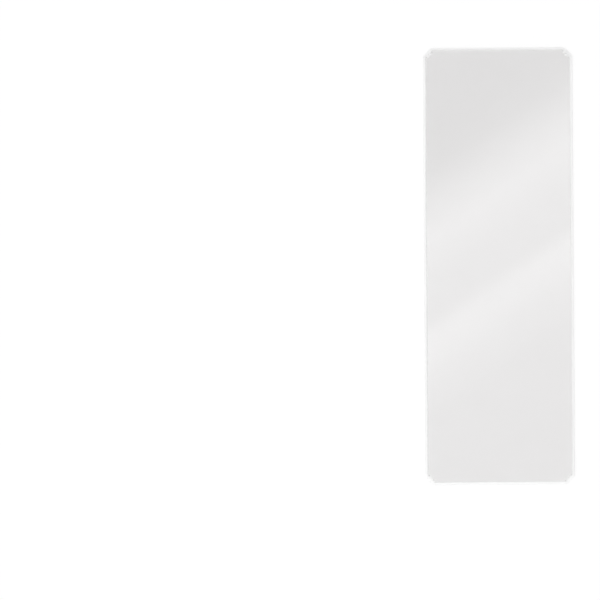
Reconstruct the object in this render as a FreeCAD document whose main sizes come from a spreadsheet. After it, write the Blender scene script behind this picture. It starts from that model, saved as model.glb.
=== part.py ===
"""Plain microscope slide with ground edges and clipped corners, in millimetres.

One piece of drawn soda-lime sheet glass. It lies flat: the width runs along X, the length
along Y and the thickness along Z. The origin is the middle of the lower polished face.
"""

import FreeCAD
import Part

import os

import Sketcher

# alias, value in mm, what it sets
SIZES = [
    ("slide_length", 76.0, "overall length, land to land"),
    ("slide_width", 26.0, "overall width, land to land"),
    ("slide_thickness", 1.0, "distance between the polished faces"),
    ("corner_clip", 1.4, "leg of the 45 degree cut across each corner"),
    ("bevel_width", 0.5, "ground bevel, measured in across a polished face"),
    ("bevel_depth", 0.3, "ground bevel, measured down the edge"),
    ("arris_radius", 0.4, "plan radius of a polished face where a side meets a clip"),
]

PARTS_FOLDER = "parts"


def make_sizes(doc):
    """The driving dimensions, one row each: alias, number, note."""
    sheet = doc.addObject("Spreadsheet::Sheet", "Sizes")
    for row, (alias, value, note) in enumerate(SIZES, start=1):
        sheet.set(f"A{row}", alias)
        sheet.set(f"B{row}", str(value))
        sheet.set(f"C{row}", note)
        sheet.setAlias(f"B{row}", alias)
    doc.recompute()
    return sheet


def origin_plane(body, role):
    """One of the body's own origin planes, such as XY_Plane."""
    return next(f for f in body.Origin.OriginFeatures if f.Role == role)


def draw_clipped_outline(body, sizes):
    """Plan of the cut glass: a rectangle about the origin with its four corners clipped.

    The points run anticlockwise from the lower end of the right-hand side, two to a side.
    """
    outline = body.newObject("Sketcher::SketchObject", "ClippedOutline")
    outline.AttachmentSupport = [(origin_plane(body, "XY_Plane"), "")]
    outline.MapMode = "FlatFace"

    right, back, clip = sizes.slide_width / 2, sizes.slide_length / 2, sizes.corner_clip
    points = [
        FreeCAD.Vector(right, clip - back),
        FreeCAD.Vector(right, back - clip),
        FreeCAD.Vector(right - clip, back),
        FreeCAD.Vector(clip - right, back),
        FreeCAD.Vector(-right, back - clip),
        FreeCAD.Vector(-right, clip - back),
        FreeCAD.Vector(clip - right, -back),
        FreeCAD.Vector(right - clip, -back),
    ]
    count = len(points)
    for line in range(count):
        outline.addGeometry(Part.LineSegment(points[line], points[(line + 1) % count]), False)

    start, end, origin = 1, 2, (-1, 1)
    right_side, back_clip, back_side, left_side, front_side, front_clip = 0, 1, 2, 4, 6, 7
    for line in range(count):
        outline.addConstraint(
            Sketcher.Constraint("Coincident", line, end, (line + 1) % count, start)
        )
    for line in range(count // 2):
        outline.addConstraint(
            Sketcher.Constraint("Symmetric", line, start, line + count // 2, start, *origin)
        )
    outline.addConstraint(Sketcher.Constraint("Vertical", right_side))
    outline.addConstraint(Sketcher.Constraint("Horizontal", back_side))

    dimensions = [
        ("DistanceX", (left_side, start, right_side, start), "slide_width"),
        ("DistanceY", (front_side, start, back_side, start), "slide_length"),
        ("DistanceX", (back_clip, end, back_clip, start), "corner_clip"),
        ("DistanceY", (back_clip, start, back_clip, end), "corner_clip"),
        ("DistanceX", (front_clip, start, front_clip, end), "corner_clip"),
        ("DistanceY", (front_clip, start, front_clip, end), "corner_clip"),
    ]
    for kind, ends, alias in dimensions:
        number = outline.addConstraint(Sketcher.Constraint(kind, *ends, getattr(sizes, alias)))
        outline.setExpression(f"Constraints[{number}]", f"Sizes.{alias}")
    return outline


def cut_blank(body, outline):
    """The sheet glass as cut, between its two polished faces."""
    blank = body.newObject("PartDesign::Pad", "CutBlank")
    blank.Profile = outline
    blank.setExpression("Length", "Sizes.slide_thickness")
    return blank


def upright_edges(shape):
    """Names of the edges that stand between the two polished faces."""
    return [
        f"Edge{number}"
        for number, edge in enumerate(shape.Edges, start=1)
        if edge.BoundBox.XLength < edge.BoundBox.ZLength > edge.BoundBox.YLength
    ]


def polished_faces(shape):
    """Names of the two faces square to Z."""
    return [
        f"Face{number}"
        for number, face in enumerate(shape.Faces, start=1)
        if abs(face.normalAt(0, 0).z) > 0.99
    ]


def blend_corners(body, blank):
    """Rounds the eight upright edges, so that one bevel can run unbroken round the slide."""
    blend = body.newObject("PartDesign::Fillet", "BlendedCorners")
    blend.Base = (blank, upright_edges(blank.Shape))
    blend.setExpression("Radius", "Sizes.arris_radius + Sizes.bevel_width")
    return blend


def grind_bevels(body, blend):
    """The ground bevels above and below, which leave the upright land between them."""
    bevels = body.newObject("PartDesign::Chamfer", "GroundBevels")
    bevels.Base = (blend, polished_faces(blend.Shape))
    bevels.ChamferType = "Two distances"
    bevels.setExpression("Size", "Sizes.bevel_depth")
    bevels.setExpression("Size2", "Sizes.bevel_width")
    return bevels


def make_glass_slide(doc, sizes):
    body = doc.addObject("PartDesign::Body", "GlassSlide")
    body.Label = "glass_slide"
    outline = draw_clipped_outline(body, sizes)
    blank = cut_blank(body, outline)
    doc.recompute()
    blend = blend_corners(body, blank)
    doc.recompute()
    body.Tip = grind_bevels(body, blend)
    doc.recompute()
    return body


def check_document(doc):
    """Stops before anything is written if a feature failed or a shape is unusable."""
    failed = [o.Label for o in doc.Objects if {"Invalid", "Error"} & set(o.State)]
    if failed:
        raise RuntimeError(f"these objects failed to compute: {failed}")


def write_part(body):
    """Writes the body to its own STEP file, named after its label."""
    if body.Shape.isNull() or not body.Shape.isValid():
        raise RuntimeError(f"{body.Label} has no valid shape")
    os.makedirs(PARTS_FOLDER, exist_ok=True)
    body.Shape.exportStep(os.path.join(PARTS_FOLDER, f"{body.Label}.step"))
    box = body.Shape.BoundBox
    print(
        f"{body.Label}: {box.XLength:.3f} x {box.YLength:.3f} x {box.ZLength:.3f} mm, "
        f"{body.Shape.Volume:.2f} mm3, {len(body.Shape.Faces)} faces"
    )


def main():
    doc = FreeCAD.newDocument("MicroscopeSlide")
    sizes = make_sizes(doc)
    glass_slide = make_glass_slide(doc, sizes)
    check_document(doc)
    write_part(glass_slide)


main()
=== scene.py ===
import math
import random

import bmesh
import bpy
from mathutils import Matrix, Vector, noise


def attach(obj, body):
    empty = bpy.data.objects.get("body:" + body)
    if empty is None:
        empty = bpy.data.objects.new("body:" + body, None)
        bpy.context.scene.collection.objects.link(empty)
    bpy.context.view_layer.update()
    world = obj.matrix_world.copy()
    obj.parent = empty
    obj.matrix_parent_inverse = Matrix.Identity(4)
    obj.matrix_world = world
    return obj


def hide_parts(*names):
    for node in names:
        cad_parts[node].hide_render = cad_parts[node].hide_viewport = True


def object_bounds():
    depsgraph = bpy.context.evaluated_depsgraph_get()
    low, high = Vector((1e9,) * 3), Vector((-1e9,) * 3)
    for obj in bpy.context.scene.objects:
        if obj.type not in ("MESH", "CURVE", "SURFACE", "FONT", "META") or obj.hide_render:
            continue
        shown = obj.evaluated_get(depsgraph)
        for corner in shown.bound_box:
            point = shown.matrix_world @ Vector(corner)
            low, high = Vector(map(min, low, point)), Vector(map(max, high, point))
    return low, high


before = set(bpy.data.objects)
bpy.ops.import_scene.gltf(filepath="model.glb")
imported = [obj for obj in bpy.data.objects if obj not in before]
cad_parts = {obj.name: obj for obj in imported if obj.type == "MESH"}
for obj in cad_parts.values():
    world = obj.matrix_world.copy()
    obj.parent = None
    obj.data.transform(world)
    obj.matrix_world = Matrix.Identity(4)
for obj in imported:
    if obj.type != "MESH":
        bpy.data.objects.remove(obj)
cadLow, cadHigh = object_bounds()  # the CAD model's box

mm = 0.001
cadCentre = (cadLow + cadHigh) / 2
restingMiddle = Vector((cadCentre.x, cadCentre.y, cadLow.z))  # middle of the face that it rests on
halfWidth = (cadHigh.x - cadLow.x) / 2
halfLength = (cadHigh.y - cadLow.y) / 2
thickness = cadHigh.z - cadLow.z
print("frame loaded:", sorted(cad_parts))


def toLinear(hexColour):
    # the sRGB curve undone, with full opacity
    channels = [int(hexColour[i:i + 2], 16) / 255 for i in (1, 3, 5)]
    return [c / 12.92 if c <= 0.04045 else ((c + 0.055) / 1.055) ** 2.4 for c in channels] + [1.0]


def addNode(tree, kind, settings=None, links=None):
    # a setting goes to the input of that name or number, or else to the node itself
    node = tree.nodes.new(kind)
    for name, value in (settings or {}).items():
        if isinstance(name, int) or name in node.inputs:
            node.inputs[name].default_value = value
        else:
            setattr(node, name, value)
    for name, source in (links or {}).items():
        tree.links.new(source, node.inputs[name])
    return node


def emptyMaterial(name):
    material = bpy.data.materials.new(name)
    material.use_nodes = True
    material.node_tree.nodes.clear()
    return material, material.node_tree


def addObject(name, data, place=(0, 0, 0)):
    made = bpy.data.objects.new(name, data)
    bpy.context.scene.collection.objects.link(made)
    made.location = place
    return made


# The slide is one sheet of glass. Its mesh has the two polished faces and, all round, the ground edge:
# a bevel, an upright land and a bevel again, with nicks as small as grinding leaves them. The clips
# across the corners met the wheel by hand, so their bevels reach further in and are chipped.
slide = {
    "cornerClip": 1.4 * mm,     # leg of the 45 degree cut across a corner
    "cornerBlend": 0.9 * mm,    # plan radius where a side meets a clip
    "bevelWidth": 0.5 * mm,
    "bevelDepth": 0.3 * mm,
    "landBlend": 0.06 * mm,     # soft turn between bevel and land
    "landCrown": 0.006 * mm,    # the land is a little fuller at its middle
    "bevelRows": 4,
    "sampleStep": 0.075 * mm,   # along the edge
    "samplesPerBlock": 16,      # each stretch has a multiple of these, so that inner rings can be coarser
    "rimStep": 0.5 * mm,        # from the arris to the first ring of the polished face
    "ringCoarsening": (1, 4, 4),
    "arrisWander": 0.018 * mm,  # how far the line between polished and ground glass strays
    "arrisWanderLength": 1.3 * mm,
    "grindRipple": 0.004 * mm,  # unevenness of the ground surface
    "grindRippleLength": 0.3 * mm,
    "clipReach": 0.3 * mm,      # how much further in a clip's bevel reaches
    "clipChip": 0.1 * mm,       # and how much more or less than that where it is chipped
    "clipChipLength": 0.25 * mm,
    "nickSpacing": 2.2 * mm,    # shell-shaped nicks along the arris
    "nickLength": (0.05 * mm, 0.16 * mm),
    "nickReach": (0.12, 0.3),   # how far in, as a share of the nick's length
    "seed": 76,
    "sharpAngle": 12,           # degrees: arrises and chips stay crisp, and the bevels shade smoothly
    "rippleShift": Vector((7, 7, 7)),  # so that ripple and chips don't follow the arris's wander
    "chipShift": Vector((3, 3, 3)),
}

# Soda-lime sheet glass, fire-polished by drawing: clear and mirror smooth, so the eye gets the white table
# through a light grey, the lamps as soft bands, and a little green only along the sheet. That grey is
# partly the glass's own colour and mostly painted shade: the colour is made darker to stand in for the
# shade on the table under the slide.
polishedGlass = {
    # the glass's own slight grey plus painted shade of the table under the slide
    "tintAndPaintedShade": "#EDECEC",
    "ior": 1.52,
    "roughness": 0.006,
    "hazeRoughness": 0.03,     # where a cloth has left a trace of film
    "hazeLength": 9 * mm,      # size of a wiped patch
    "hazeDetail": 3.0,
    "hazeFrom": (0.45, 0.75),  # noise over which the film goes from none to full
    "waveLength": 14 * mm,     # slow waves of drawn sheet
    "waveDetail": 1.0,
    "waveHeight": 0.0006 * mm,
    "depthColour": "#BFE3D3",  # what is left of white after a long way through the sheet
    "depthDensity": 0.4,       # per metre
}

# The same glass, ground on a diamond wheel: a crushed, scattering surface that is paler than the pane.
# The wheel bites deepest in the bevels, runs finer on the land and fades out towards the polished face,
# and since each side had its own pass, it does so sooner on some sides than on others, and soonest and
# most unevenly on the clips.
groundGlass = {
    "crushed": "#FFFFFF",
    "sound": "#F0F0F0",
    "ior": 1.52,
    "roughness": (0.4, 0.62),  # from the sound grains to the crushed ones
    "arrisRoughness": 0.15,    # where the finish has faded out
    "bevelClear": 0.05,        # share of light that goes in, and the rest is scattered back
    "landClear": 0.45,
    "arrisClear": 0.9,
    "insideClear": 1.0,        # the same for light that leaves the glass
    "landTurn": 0.08 * mm,     # over which the land's finish goes over into the bevel's
    "arrisFade": {             # over which the bevel's finish fades out, side by side
        "right": 0.08 * mm,
        "back": 0.3 * mm,
        "left": 0.36 * mm,
        "front": 0.1 * mm,
    },
    "clipFade": 0.3 * mm,      # what a clip adds to that, and how much more or less from chip to chip
    "chipFade": 0.3 * mm,
    "clipRoughness": 0.12,     # the same for the roughness where the finish has faded out
    "chipRoughness": 0.35,
    "feather": 0.06 * mm,      # how unevenly the finish fades from grain to grain
    "lineLength": 6 * mm,      # scratches of the wheel run along the edge
    "lineWidth": 0.08 * mm,    # really about 0.01 mm, drawn coarser so that it can show
    "lineDepth": 0.006 * mm,
    "grainSize": 0.11 * mm,    # really 0.02 mm, drawn coarser for the same reason
    "grainDepth": 0.012 * mm,
    "detail": 2.0,             # of scratches and grain alike
    "crushFrom": (0.75, 1.25),  # sum of the two noises over which sound glass goes over into crushed
}


def addDepthTint(tree, output):
    absorb = addNode(tree, "ShaderNodeVolumeAbsorption", {
        "Color": toLinear(polishedGlass["depthColour"]),
        "Density": polishedGlass["depthDensity"],
    })
    tree.links.new(absorb.outputs["Volume"], output.inputs["Volume"])


def makePolishedGlass():
    glass = polishedGlass
    material, tree = emptyMaterial("drawn soda-lime sheet glass")
    place = addNode(tree, "ShaderNodeTexCoord")
    haze = addNode(tree, "ShaderNodeTexNoise", {
        "Scale": 1 / glass["hazeLength"],
        "Detail": glass["hazeDetail"],
    }, {"Vector": place.outputs["Object"]})
    roughness = addNode(tree, "ShaderNodeMapRange", {
        "From Min": glass["hazeFrom"][0],
        "From Max": glass["hazeFrom"][1],
        "To Min": glass["roughness"],
        "To Max": glass["hazeRoughness"],
    }, {"Value": haze.outputs["Fac"]})
    waves = addNode(tree, "ShaderNodeTexNoise", {
        "Scale": 1 / glass["waveLength"],
        "Detail": glass["waveDetail"],
    }, {"Vector": place.outputs["Object"]})
    bump = addNode(tree, "ShaderNodeBump", {"Distance": glass["waveHeight"]},
                   {"Height": waves.outputs["Fac"]})
    shader = addNode(tree, "ShaderNodeBsdfPrincipled", {
        # the base colour carries painted shade of the table under the glass
        "Base Color": toLinear(glass["tintAndPaintedShade"]),
        "IOR": glass["ior"],
        "Transmission Weight": 1.0,
    }, {"Roughness": roughness.outputs["Result"], "Normal": bump.outputs["Normal"]})
    output = addNode(tree, "ShaderNodeOutputMaterial", links={"Surface": shader.outputs["BSDF"]})
    addDepthTint(tree, output)
    return material


def makeGroundGlass():
    glass = groundGlass
    bevelRun = math.hypot(slide["bevelWidth"], slide["bevelDepth"])
    halfLand = thickness / 2 - slide["bevelDepth"]
    fadeEnd = halfLand + bevelRun - glass["feather"]
    material, tree = emptyMaterial("wheel-ground soda-lime glass")

    along = addNode(tree, "ShaderNodeUVMap", {"uv_map": "edgeRun"})  # metres along and across the edge
    stretched = addNode(tree, "ShaderNodeMapping", {
        "Scale": (1 / glass["lineLength"], 1 / glass["lineWidth"], 1.0),
    }, {"Vector": along.outputs["UV"]})
    lines = addNode(tree, "ShaderNodeTexNoise", {"Scale": 1.0, "Detail": glass["detail"]},
                    {"Vector": stretched.outputs["Vector"]})
    place = addNode(tree, "ShaderNodeTexCoord")
    grains = addNode(tree, "ShaderNodeTexNoise", {
        "Scale": 1 / glass["grainSize"],
        "Detail": glass["detail"],
    }, {"Vector": place.outputs["Object"]})
    bite = addNode(tree, "ShaderNodeMath", {"operation": "ADD"},
                   {0: lines.outputs["Fac"], 1: grains.outputs["Fac"]})
    crush = addNode(tree, "ShaderNodeMapRange", {
        "From Min": glass["crushFrom"][0],
        "From Max": glass["crushFrom"][1],
    }, {"Value": bite.outputs[0]})

    # The finish goes by how far a spot is from the middle of the edge, feathered by the grain. The mesh
    # says over what width it fades, and how rough it ends.
    across = addNode(tree, "ShaderNodeSeparateXYZ", links={"Vector": along.outputs["UV"]})
    fromMiddle = addNode(tree, "ShaderNodeMath", {"operation": "ABSOLUTE"}, {0: across.outputs["Y"]})
    feathered = addNode(tree, "ShaderNodeMath", {"operation": "MULTIPLY_ADD", 1: -glass["feather"]},
                        {0: crush.outputs["Result"], 2: fromMiddle.outputs[0]})
    fadeWidth = addNode(tree, "ShaderNodeAttribute", {"attribute_name": "arrisFade"})
    fadeFrom = addNode(tree, "ShaderNodeMath", {"operation": "SUBTRACT", 0: fadeEnd},
                       {1: fadeWidth.outputs["Fac"]})
    fading = addNode(tree, "ShaderNodeMapRange", {
        "interpolation_type": "SMOOTHSTEP",
        "From Max": fadeEnd,
    }, {"Value": feathered.outputs[0], "From Min": fadeFrom.outputs[0]})
    onBevel = addNode(tree, "ShaderNodeMapRange", {
        "To Min": glass["bevelClear"],
        "To Max": glass["arrisClear"],
    }, {"Value": fading.outputs["Result"]})
    onLand = addNode(tree, "ShaderNodeMapRange", {
        "interpolation_type": "SMOOTHSTEP",
        "From Min": halfLand - glass["landTurn"],
        "From Max": halfLand,
        "To Min": glass["landClear"],
        "To Max": glass["bevelClear"],
    }, {"Value": fromMiddle.outputs[0]})
    inward = addNode(tree, "ShaderNodeMath", {"operation": "MAXIMUM"},
                     {0: onLand.outputs["Result"], 1: onBevel.outputs["Result"]})
    side = addNode(tree, "ShaderNodeNewGeometry")
    clear = addNode(tree, "ShaderNodeMix", {"data_type": "FLOAT", 3: glass["insideClear"]},
                    {0: side.outputs["Backfacing"], 2: inward.outputs[0]})

    # Seen from outside, its colour goes over into the polished face's grey, with the painted shade that
    # grey carries. From inside it is white.
    grainColour = addNode(tree, "ShaderNodeMix", {
        "data_type": "RGBA",
        6: toLinear(glass["sound"]),
        7: toLinear(glass["crushed"]),
    }, {0: crush.outputs["Result"]})
    outerColour = addNode(tree, "ShaderNodeMix", {"data_type": "RGBA", 7: toLinear(polishedGlass["tintAndPaintedShade"])},
                          {0: fading.outputs["Result"], 6: grainColour.outputs[2]})
    colour = addNode(tree, "ShaderNodeMix", {"data_type": "RGBA", 7: toLinear(glass["crushed"])},
                     {0: side.outputs["Backfacing"], 6: outerColour.outputs[2]})
    grainRoughness = addNode(tree, "ShaderNodeMapRange", {
        "To Min": glass["roughness"][0],
        "To Max": glass["roughness"][1],
    }, {"Value": crush.outputs["Result"]})
    arrisRoughness = addNode(tree, "ShaderNodeAttribute", {"attribute_name": "arrisRoughness"})
    roughness = addNode(tree, "ShaderNodeMix", {"data_type": "FLOAT"}, {
        0: fading.outputs["Result"],
        2: grainRoughness.outputs["Result"],
        3: arrisRoughness.outputs["Fac"],
    })
    lineBump = addNode(tree, "ShaderNodeBump", {"Distance": glass["lineDepth"]},
                       {"Height": lines.outputs["Fac"]})
    grainBump = addNode(tree, "ShaderNodeBump", {"Distance": glass["grainDepth"]},
                        {"Height": grains.outputs["Fac"], "Normal": lineBump.outputs["Normal"]})
    shader = addNode(tree, "ShaderNodeBsdfPrincipled", {"IOR": glass["ior"]}, {
        "Base Color": colour.outputs[2],
        "Transmission Weight": clear.outputs[0],
        "Roughness": roughness.outputs[0],
        "Normal": grainBump.outputs["Normal"],
    })
    output = addNode(tree, "ShaderNodeOutputMaterial", links={"Surface": shader.outputs["BSDF"]})
    addDepthTint(tree, output)
    return material


def edgeStations():
    # points round the land, anticlockwise, each as place, outward direction and distance run
    clip, blend, block = slide["cornerClip"], slide["cornerBlend"], slide["samplesPerBlock"]
    corners = [
        (halfWidth, clip - halfLength), (halfWidth, halfLength - clip),
        (halfWidth - clip, halfLength), (clip - halfWidth, halfLength),
        (-halfWidth, halfLength - clip), (-halfWidth, clip - halfLength),
        (clip - halfWidth, -halfLength), (halfWidth - clip, -halfLength),
    ]
    corners = [Vector(c) for c in corners]
    turn = math.radians(45)  # from a side to a clip
    setBack = blend * math.tan(turn / 2)
    stations = []
    run = 0.0
    for i, corner in enumerate(corners):
        before = (corner - corners[i - 1]).normalized()
        ahead = (corners[(i + 1) % len(corners)] - corner).normalized()
        outward = Vector((before.y, -before.x))
        arcCentre = corner - before * setBack - outward * blend
        startAngle = math.atan2(outward.y, outward.x)
        for k in range(block):
            angle = startAngle + turn * k / block
            direction = Vector((math.cos(angle), math.sin(angle)))
            stations.append((arcCentre + direction * blend, direction, run + blend * turn * k / block))
        run += blend * turn
        start = corner + ahead * setBack
        length = (corners[(i + 1) % len(corners)] - corner).length - 2 * setBack
        outward = Vector((ahead.y, -ahead.x))
        count = block * max(1, round(length / slide["sampleStep"] / block))
        for k in range(count):
            stations.append((start + ahead * length * k / count, outward, run + length * k / count))
        run += length
    return stations, run


def edgeProfile():
    # the ground edge from the lower arris to the upper one, as inset from the land and height
    width, depth = slide["bevelWidth"], slide["bevelDepth"]
    soft = slide["landBlend"]
    share = 1 - soft / math.hypot(width, depth)
    rows = slide["bevelRows"]
    lower = [(width * (1 - share * k / rows), depth * share * k / rows) for k in range(rows + 1)]
    lower.append((slide["landCrown"], depth + soft))
    upper = [(inset, thickness - height) for inset, height in reversed(lower)]
    return lower + [(0.0, thickness / 2)] + upper


nickDraw = random.Random(slide["seed"])


def makeNicks(total):
    # where nicks bite into one arris: distance run, half length and how far in
    nicks = []
    at = nickDraw.uniform(0, slide["nickSpacing"])
    while at < total:
        length = nickDraw.uniform(*slide["nickLength"])
        nicks.append((at, length / 2, length * nickDraw.uniform(*slide["nickReach"])))
        at += nickDraw.expovariate(1 / slide["nickSpacing"])
    return nicks


def nickInset(nicks, run):
    inset = 0.0
    for at, half, reach in nicks:
        away = abs(run - at) / half
        if away < 1:
            inset = max(inset, reach * math.sqrt(1 - away * away))
    return inset


def sideFade(outward):
    # a clip takes after both of its sides
    fade = groundGlass["arrisFade"]
    alongX = fade["right"] if outward.x > 0 else fade["left"]
    alongY = fade["back"] if outward.y > 0 else fade["front"]
    return alongX * outward.x ** 2 + alongY * outward.y ** 2


def addEdgeRow(mesh, stations, inset, height, nicks):
    # one row of vertices round the edge, which strays as grinding does
    glass = groundGlass
    fadeLayer = mesh.verts.layers.float["arrisFade"]
    roughLayer = mesh.verts.layers.float["arrisRoughness"]
    row = []
    for place, outward, run in stations:
        where = Vector((place.x, place.y, height))
        onClip = (2 * outward.x * outward.y) ** 2  # 1 along a clip, and 0 along a side
        chip = noise.noise(where / slide["clipChipLength"] + slide["chipShift"])
        stray = slide["arrisWander"] * noise.noise(where / slide["arrisWanderLength"])
        stray += (slide["clipReach"] + slide["clipChip"] * chip) * onClip
        stray *= min(inset / slide["bevelWidth"], 1.0)
        if nicks is None:
            ripple = noise.noise(where / slide["grindRippleLength"] + slide["rippleShift"])
            stray += slide["grindRipple"] * (1 + ripple) / 2
        else:
            stray += nickInset(nicks, run)
        at = place - outward * (inset + stray)
        vert = mesh.verts.new(restingMiddle + Vector((at.x, at.y, height)))
        vert[fadeLayer] = sideFade(outward) + (glass["clipFade"] + glass["chipFade"] * chip) * onClip
        rougher = (glass["clipRoughness"] + glass["chipRoughness"] * chip) * onClip
        vert[roughLayer] = glass["arrisRoughness"] + rougher
        row.append(vert)
    return row


def joinEdgeRows(mesh, rows, profile, stations, total):
    uvLayer = mesh.loops.layers.uv.new("edgeRun")
    runs = [run for place, outward, run in stations] + [total]
    across = [0.0]
    for (insetA, heightA), (insetB, heightB) in zip(profile, profile[1:]):
        across.append(across[-1] + math.hypot(insetB - insetA, heightB - heightA))
    for i, (lower, upper) in enumerate(zip(rows, rows[1:])):
        low = across[i] - across[-1] / 2
        high = across[i + 1] - across[-1] / 2
        for k in range(len(stations)):
            j = (k + 1) % len(stations)
            face = mesh.faces.new((lower[k], lower[j], upper[j], upper[k]))
            face.material_index = 1
            spots = ((runs[k], low), (runs[k + 1], low), (runs[k + 1], high), (runs[k], high))
            for loop, spot in zip(face.loops, spots):
                loop[uvLayer].uv = spot


def addPolishedFace(mesh, arris, stations, height, facesUp):
    # rings that get coarser inwards, then one flat face
    ring, stride, inset = arris, 1, slide["bevelWidth"]
    made = []
    for coarser in slide["ringCoarsening"]:
        stride *= coarser
        inset += slide["rimStep"] * coarser
        inner = []
        for place, outward, run in stations[::stride]:
            at = Vector((place.x * (1 - inset / halfWidth), place.y * (1 - inset / halfLength), height))
            inner.append(mesh.verts.new(restingMiddle + at))
        for k, corner in enumerate(inner):
            nextCorner = inner[(k + 1) % len(inner)]
            outer = [ring[(k * coarser + n) % len(ring)] for n in range(coarser + 1)]
            if coarser == 1:
                made.append((outer[0], outer[1], nextCorner, corner))
                continue
            half = coarser // 2
            made += [(a, b, corner) for a, b in zip(outer[:half], outer[1:])]
            made.append((outer[half], nextCorner, corner))
            made += [(a, b, nextCorner) for a, b in zip(outer[half:], outer[half + 1:])]
        ring = inner
    made.append(tuple(ring))
    for corners in made:
        mesh.faces.new(corners if facesUp else corners[::-1])


def makeSlide():
    stations, total = edgeStations()
    profile = edgeProfile()
    mesh = bmesh.new()
    for layer in ("arrisFade", "arrisRoughness"):  # for the ground glass to read
        mesh.verts.layers.float.new(layer)
    rows = []
    for inset, height in profile:
        onArris = (inset, height) in (profile[0], profile[-1])
        rows.append(addEdgeRow(mesh, stations, inset, height, makeNicks(total) if onArris else None))
    joinEdgeRows(mesh, rows, profile, stations, total)
    addPolishedFace(mesh, rows[0], stations, profile[0][1], False)
    addPolishedFace(mesh, rows[-1], stations, profile[-1][1], True)
    for face in mesh.faces:
        face.smooth = True
    data = bpy.data.meshes.new("clearSlide")
    mesh.to_mesh(data)
    mesh.free()
    data.set_sharp_from_angle(angle=math.radians(slide["sharpAngle"]))
    data.materials.append(makePolishedGlass())
    data.materials.append(makeGroundGlass())
    made = addObject("clearSlide", data)
    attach(made, "root")
    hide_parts("glass_slide")
    return made


slideObject = makeSlide()
print("slide made:", len(slideObject.data.polygons), "faces")


table = {
    "size": 3.0,
    "gap": 0.02 * mm,          # the slide rests on the paper's highest fibres
    "colour": "#FFFFFF",
    "ownWhite": 0.85,          # share of plain white that camera, mirror and glass rays see
    "plainFrom": (0.12, 0.4),  # from the slide, where the last of the shading fades out
}

roomLight = 0.66  # from all round
keyLamp = {
    "size": 0.9,
    "place": (-0.3, -0.3, 1.3),
    "power": 8.5,
}

# A dark ceiling with strip lamps behind paper, seen only as the reflection in the glass. The two lamps
# overhead are drawn by steps across them, and those further out stand in even rows.
ceiling = {
    "height": 0.45,
    "size": 4.0,
    "bandAngle": 34.2,   # how the strips run, anticlockwise from the slide's width
    "steps": [           # mm across the strips as mirrored in the slide, from its middle; light
        (-40.0, 0.0), (-25.0, 0.0), (-20.6, 0.2), (-14.8, 1.15), (-10.5, 1.65), (-4.0, 1.2),
        (0.1, 1.12), (1.1, 1.2), (3.2, 1.72), (5.4, 1.72), (9.7, 1.3), (15.5, 0.9), (28.0, 0.75),
        (40.0, 0.70),
    ],
    "rowSpacing": 0.24,
    "rowDark": 0.36,
    "rowBright": 1.0,
    "rowEdge": (-0.1, 0.8),  # where the rise from dark to bright starts and ends, as a cosine
    "rowsFrom": 2,           # times the reach of the steps, where the rows have taken over
}

camera = {
    "lens": 200.0,
    "sensor": 36.0,
    "frameWidth": 104.4 * mm,                 # what the picture takes in, at the slide
    "slideInFrame": (34.62 * mm, 5.87 * mm),  # the slide's middle from the picture's
    "roll": -0.37,                            # degrees
    "nearest": 0.01,
}


def backgroundRays(tree):
    # 1 for rays that show the background as it is: seen, mirrored or through glass
    path = addNode(tree, "ShaderNodeLightPath")
    seen = addNode(tree, "ShaderNodeMath", {"operation": "MAXIMUM"},
                   {0: path.outputs["Is Camera Ray"], 1: path.outputs["Is Glossy Ray"]})
    both = addNode(tree, "ShaderNodeMath", {"operation": "MAXIMUM"},
                   {0: seen.outputs[0], 1: path.outputs["Is Transmission Ray"]})
    return both.outputs[0]


def flatSquare(name, size, material):
    half = size / 2
    mesh = bpy.data.meshes.new(name)
    mesh.from_pydata([(-half, -half, 0), (half, -half, 0), (half, half, 0), (-half, half, 0)], [],
                     [(0, 1, 2, 3)])
    mesh.materials.append(material)
    return mesh


def makeTable():
    material, tree = emptyMaterial("matt white paper")
    diffuse = addNode(tree, "ShaderNodeBsdfDiffuse", {"Color": toLinear(table["colour"])})
    white = addNode(tree, "ShaderNodeEmission", {"Color": toLinear(table["colour"]), "Strength": 1.0})
    place = addNode(tree, "ShaderNodeTexCoord")
    away = addNode(tree, "ShaderNodeVectorMath", {"operation": "LENGTH"}, {0: place.outputs["Object"]})
    plain = addNode(tree, "ShaderNodeMapRange", {
        "interpolation_type": "SMOOTHSTEP",
        "From Min": table["plainFrom"][0],
        "From Max": table["plainFrom"][1],
        "To Min": table["ownWhite"],
    }, {"Value": away.outputs["Value"]})
    share = addNode(tree, "ShaderNodeMath", {"operation": "MULTIPLY"},
                    {0: backgroundRays(tree), 1: plain.outputs["Result"]})
    mixed = addNode(tree, "ShaderNodeMixShader", links={
        0: share.outputs[0], 1: diffuse.outputs["BSDF"], 2: white.outputs["Emission"]})
    addNode(tree, "ShaderNodeOutputMaterial", links={"Surface": mixed.outputs["Shader"]})
    spot = (cadCentre.x, cadCentre.y, cadLow.z - table["gap"])
    addObject("whiteTable", flatSquare("whiteTable", table["size"], material), spot)


def makeRoomLight():
    world = bpy.data.worlds.new("white room")
    bpy.context.scene.world = world
    world.use_nodes = True
    tree = world.node_tree
    tree.nodes.clear()
    lighting = addNode(tree, "ShaderNodeBackground", {"Color": (1, 1, 1, 1), "Strength": roomLight})
    backdrop = addNode(tree, "ShaderNodeBackground", {"Color": (1, 1, 1, 1), "Strength": 1.0})
    mixed = addNode(tree, "ShaderNodeMixShader", links={
        0: backgroundRays(tree), 1: lighting.outputs["Background"], 2: backdrop.outputs["Background"]})
    addNode(tree, "ShaderNodeOutputWorld", links={"Surface": mixed.outputs["Shader"]})


def makeKeyLamp():
    lamp = bpy.data.lights.new("softKey", "AREA")
    lamp.shape = "SQUARE"
    lamp.size = keyLamp["size"]
    lamp.energy = keyLamp["power"]
    away = Vector(keyLamp["place"])
    made = addObject("softKey", lamp, cadCentre + away)
    made.rotation_euler = (-away).to_track_quat("-Z", "Y").to_euler()


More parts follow.
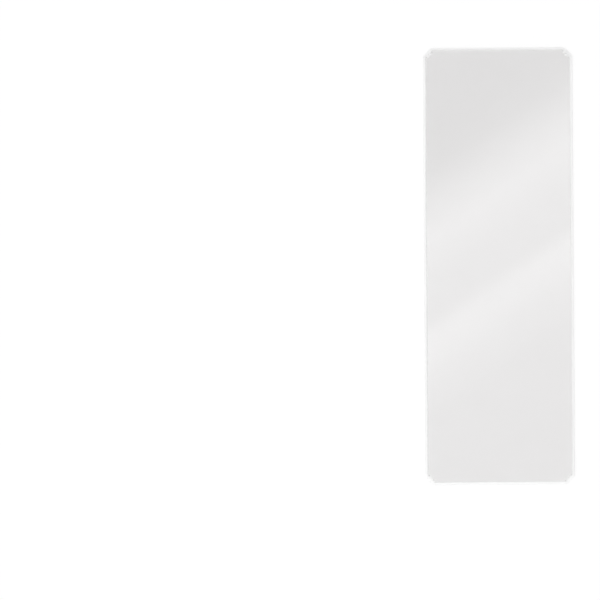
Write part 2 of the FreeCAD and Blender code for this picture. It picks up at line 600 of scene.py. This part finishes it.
def makeCamera():
    data = bpy.data.cameras.new("overhead")
    data.lens = camera["lens"]
    data.sensor_width = camera["sensor"]
    data.clip_start = camera["nearest"]
    roll = math.radians(camera["roll"])
    distance = camera["frameWidth"] * camera["lens"] / camera["sensor"]
    toSlide = Matrix.Rotation(roll, 3, "Z") @ Vector((*camera["slideInFrame"], -distance))
    made = addObject("overhead", data, cadCentre - toSlide)
    made.rotation_euler = (0, 0, roll)
    bpy.context.scene.camera = made
    return made


def makeCeiling(overhead):
    steps = ceiling["steps"]
    first, last = steps[0][0] * mm, steps[-1][0] * mm
    share = ceiling["height"] / (overhead.location.z - cadHigh.z)
    spread = 1 + share                      # a mirrored picture grows with the ceiling's height
    material, tree = emptyMaterial("strip lamps behind paper")
    place = addNode(tree, "ShaderNodeTexCoord")
    across = addNode(tree, "ShaderNodeSeparateXYZ", links={"Vector": place.outputs["Object"]})
    near = addNode(tree, "ShaderNodeMapRange", {
        "From Min": first * spread,
        "From Max": last * spread,
    }, {"Value": across.outputs["X"]})
    ramp = addNode(tree, "ShaderNodeValToRGB", links={"Fac": near.outputs["Result"]})
    brightest = max(light for at, light in steps)
    stops = ramp.color_ramp.elements
    stops.remove(stops[-1])
    for i, (at, light) in enumerate(steps):
        position = (at * mm - first) / (last - first)
        stop = stops[0] if i == 0 else stops.new(position)
        stop.position = position
        stop.color = [light / brightest] * 3 + [1]
    overheadGlow = addNode(tree, "ShaderNodeEmission", {"Strength": brightest},
                           {"Color": ramp.outputs["Color"]})

    turns = addNode(tree, "ShaderNodeMath", {"operation": "MULTIPLY", 1: math.tau / ceiling["rowSpacing"]},
                    {0: across.outputs["X"]})
    wave = addNode(tree, "ShaderNodeMath", {"operation": "COSINE"}, {0: turns.outputs[0]})
    rows = addNode(tree, "ShaderNodeMapRange", {
        "interpolation_type": "SMOOTHSTEP",
        "From Min": ceiling["rowEdge"][0],
        "From Max": ceiling["rowEdge"][1],
        "To Min": ceiling["rowDark"],
        "To Max": ceiling["rowBright"],
    }, {"Value": wave.outputs[0]})
    rowGlow = addNode(tree, "ShaderNodeEmission", links={"Strength": rows.outputs["Result"]})
    away = addNode(tree, "ShaderNodeMath", {"operation": "ABSOLUTE"}, {0: across.outputs["X"]})
    isFar = addNode(tree, "ShaderNodeMapRange", {
        "From Min": last * spread,
        "From Max": last * spread * ceiling["rowsFrom"],
    }, {"Value": away.outputs[0]})
    glow = addNode(tree, "ShaderNodeMixShader", links={
        0: isFar.outputs["Result"], 1: overheadGlow.outputs["Emission"], 2: rowGlow.outputs["Emission"]})

    # the table under the glass is lit by the room, so a ray that has left it passes this ceiling
    path = addNode(tree, "ShaderNodeLightPath")
    fromTable = addNode(tree, "ShaderNodeMath", {"operation": "MINIMUM", 1: 1.0},
                        {0: path.outputs["Diffuse Depth"]})
    passed = addNode(tree, "ShaderNodeBsdfTransparent")
    mixed = addNode(tree, "ShaderNodeMixShader", links={
        0: fromTable.outputs[0], 1: glow.outputs["Shader"], 2: passed.outputs["BSDF"]})
    addNode(tree, "ShaderNodeOutputMaterial", links={"Surface": mixed.outputs["Shader"]})

    shift = (cadCentre - overhead.location).to_2d() * share
    above = Vector((cadCentre.x + shift.x, cadCentre.y + shift.y, cadHigh.z + ceiling["height"]))
    made = addObject("stripCeiling", flatSquare("stripCeiling", ceiling["size"], material), above)
    made.rotation_euler = (0, 0, math.radians(ceiling["bandAngle"] - 90))  # X runs across the strips
    made.visible_camera = False
    made.visible_diffuse = False
    made.visible_shadow = False


makeTable()
makeRoomLight()
makeKeyLamp()
makeCeiling(makeCamera())
print("table, light and camera made")

bpy.context.scene.view_settings.view_transform = "Standard"
